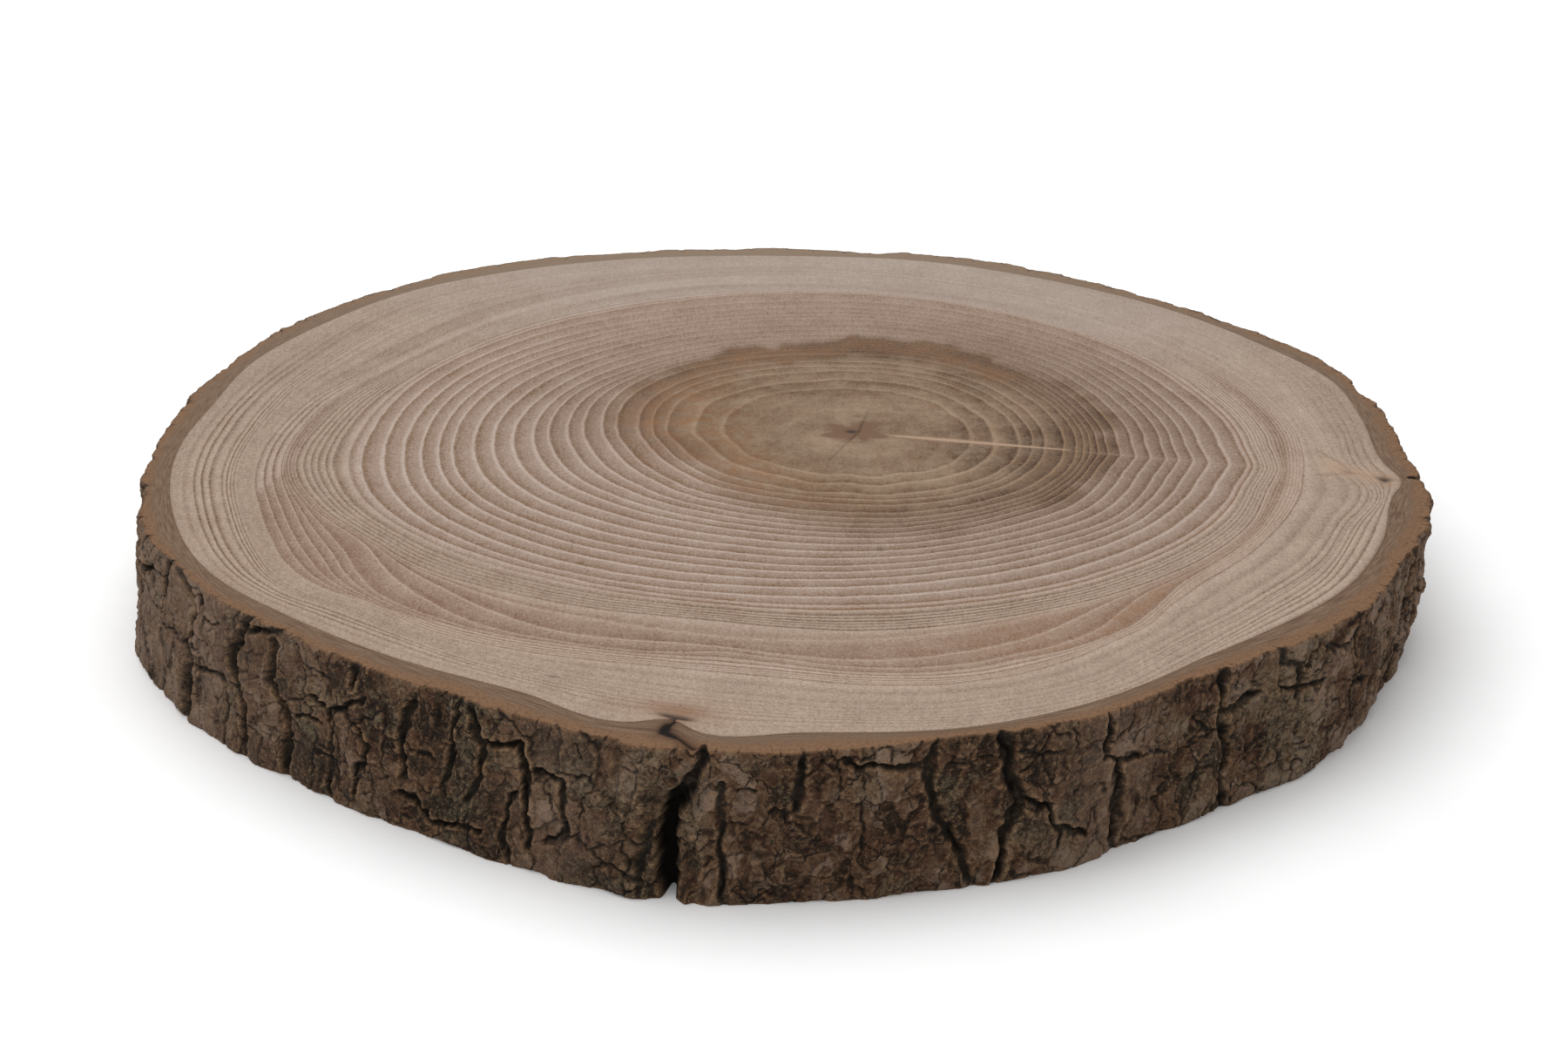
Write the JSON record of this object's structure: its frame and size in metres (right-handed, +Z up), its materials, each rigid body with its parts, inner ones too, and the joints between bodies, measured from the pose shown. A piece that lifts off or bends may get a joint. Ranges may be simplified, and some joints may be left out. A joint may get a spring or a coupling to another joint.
{
  "type": "wood slice",
  "caption": "Round slice sawn across a tree trunk, with two flat ringed faces and its rough bark left on the edge, to serve as a board, stand or display base.",
  "frame": {"origin": "centre of the slice's bounding box, on the sawn underside that it rests on", "axes": "+Z up, out of the sawn top face and along the old trunk; -Y towards the front, where the deep bark cleft is; +X along the slice's widest way, towards the small side cleft"},
  "size_m": [0.3102, 0.2958, 0.0355],
  "materials": {
    "sawn_wood": "bare wood, sawn and lightly sanded, matt",
    "bark": "rough fissured bark, untreated"
  },
  "bodies": {
    "root": {"wood_slice": "sawn_wood"}
  },
  "joints": []
}
